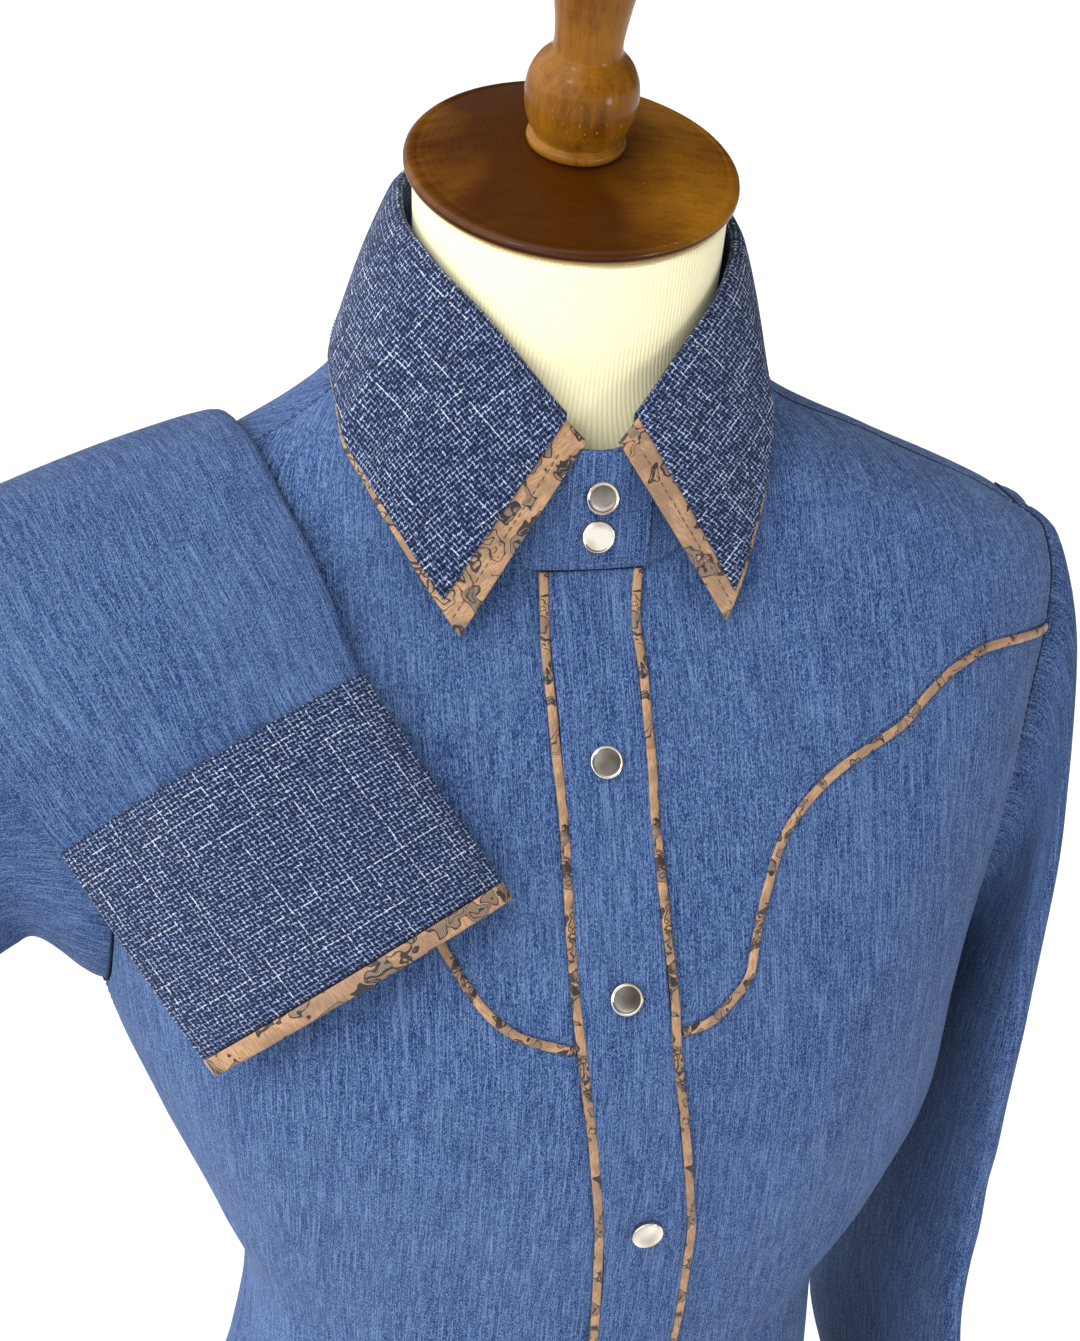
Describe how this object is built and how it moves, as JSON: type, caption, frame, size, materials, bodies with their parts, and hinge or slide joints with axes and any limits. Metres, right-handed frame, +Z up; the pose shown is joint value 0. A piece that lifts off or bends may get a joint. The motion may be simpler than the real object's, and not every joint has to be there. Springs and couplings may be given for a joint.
{
  "type": "western snap shirt on a dress form",
  "caption": "Long sleeved denim snap shirt with a checked collar and cuffs and patterned piping, one sleeve folded forward, on a limbless dress form.",
  "frame": {"origin": "on the floor at the centre of the dress form's round base", "axes": "+Z up, -Y the way the front of the shirt faces, +X the side of the shirt's left front and of the hanging sleeve"},
  "size_m": [0.5566, 0.2617, 0.9932],
  "materials": {
    "front_yoke_right": "mid blue slubby denim twill, matt",
    "front_right": "mid blue slubby denim twill, matt",
    "front_yoke_left": "mid blue slubby denim twill, matt",
    "front_left": "mid blue slubby denim twill, matt",
    "back_yoke": "mid blue slubby denim twill, matt",
    "back": "mid blue slubby denim twill, matt",
    "placket": "mid blue slubby denim twill, matt",
    "collar_stand": "mid blue slubby denim twill, matt",
    "sleeve_left": "mid blue slubby denim twill, matt",
    "sleeve_right": "mid blue slubby denim twill, matt",
    "collar_top": "navy and white tweed check, matt",
    "cuff_left": "navy and white tweed check, matt",
    "cuff_right": "navy and white tweed check, matt",
    "collar_under": "tan paisley brocade with a satin sheen",
    "placket_piping_right": "tan paisley brocade with a satin sheen",
    "placket_piping_left": "tan paisley brocade with a satin sheen",
    "yoke_piping_right": "tan paisley brocade with a satin sheen",
    "yoke_piping_left": "tan paisley brocade with a satin sheen",
    "cuff_trim_left": "tan paisley brocade with a satin sheen",
    "cuff_trim_right": "tan paisley brocade with a satin sheen",
    "form_torso": "cream fine ribbed knit, matt",
    "neck_cap": "walnut stain under a semi-gloss varnish",
    "finial": "walnut stain under a semi-gloss varnish",
    "form_pole": "walnut stain under a semi-gloss varnish",
    "form_base": "walnut stain under a semi-gloss varnish",
    "snap_placket_1": "bright silver plating, polished, with a rolled rim",
    "snap_placket_2": "bright silver plating, polished, with a rolled rim",
    "snap_placket_3": "bright silver plating, polished, with a rolled rim",
    "snap_placket_4": "bright silver plating, polished, with a rolled rim",
    "snap_placket_5": "bright silver plating, polished, with a rolled rim",
    "snap_placket_6": "bright silver plating, polished, with a rolled rim",
    "snap_stand_1": "bright silver plating, polished, with a rolled rim",
    "snap_stand_2": "bright silver plating, polished, with a rolled rim",
    "snap_cuff_left_1": "bright silver plating, polished, with a rolled rim",
    "snap_cuff_left_2": "bright silver plating, polished, with a rolled rim",
    "snap_cuff_right_1": "bright silver plating, polished, with a rolled rim",
    "snap_cuff_right_2": "bright silver plating, polished, with a rolled rim"
  },
  "bodies": {
    "root": {"front_yoke_right": "front_yoke_right", "front_right": "front_right", "front_yoke_left": "front_yoke_left", "front_left": "front_left", "back_yoke": "back_yoke", "back": "back", "placket": "placket", "collar_stand": "collar_stand", "sleeve_left": "sleeve_left", "sleeve_right": "sleeve_right", "collar_top": "collar_top", "cuff_left": "cuff_left", "cuff_right": "cuff_right", "collar_under": "collar_under", "placket_piping_right": "placket_piping_right", "placket_piping_left": "placket_piping_left", "yoke_piping_right": "yoke_piping_right", "yoke_piping_left": "yoke_piping_left", "cuff_trim_left": "cuff_trim_left", "cuff_trim_right": "cuff_trim_right", "form_torso": "form_torso", "neck_cap": "neck_cap", "finial": "finial", "form_pole": "form_pole", "form_base": "form_base", "snap_placket_1": "snap_placket_1", "snap_placket_2": "snap_placket_2", "snap_placket_3": "snap_placket_3", "snap_placket_4": "snap_placket_4", "snap_placket_5": "snap_placket_5", "snap_placket_6": "snap_placket_6", "snap_stand_1": "snap_stand_1", "snap_stand_2": "snap_stand_2", "snap_cuff_left_1": "snap_cuff_left_1", "snap_cuff_left_2": "snap_cuff_left_2", "snap_cuff_right_1": "snap_cuff_right_1", "snap_cuff_right_2": "snap_cuff_right_2"}
  },
  "joints": []
}
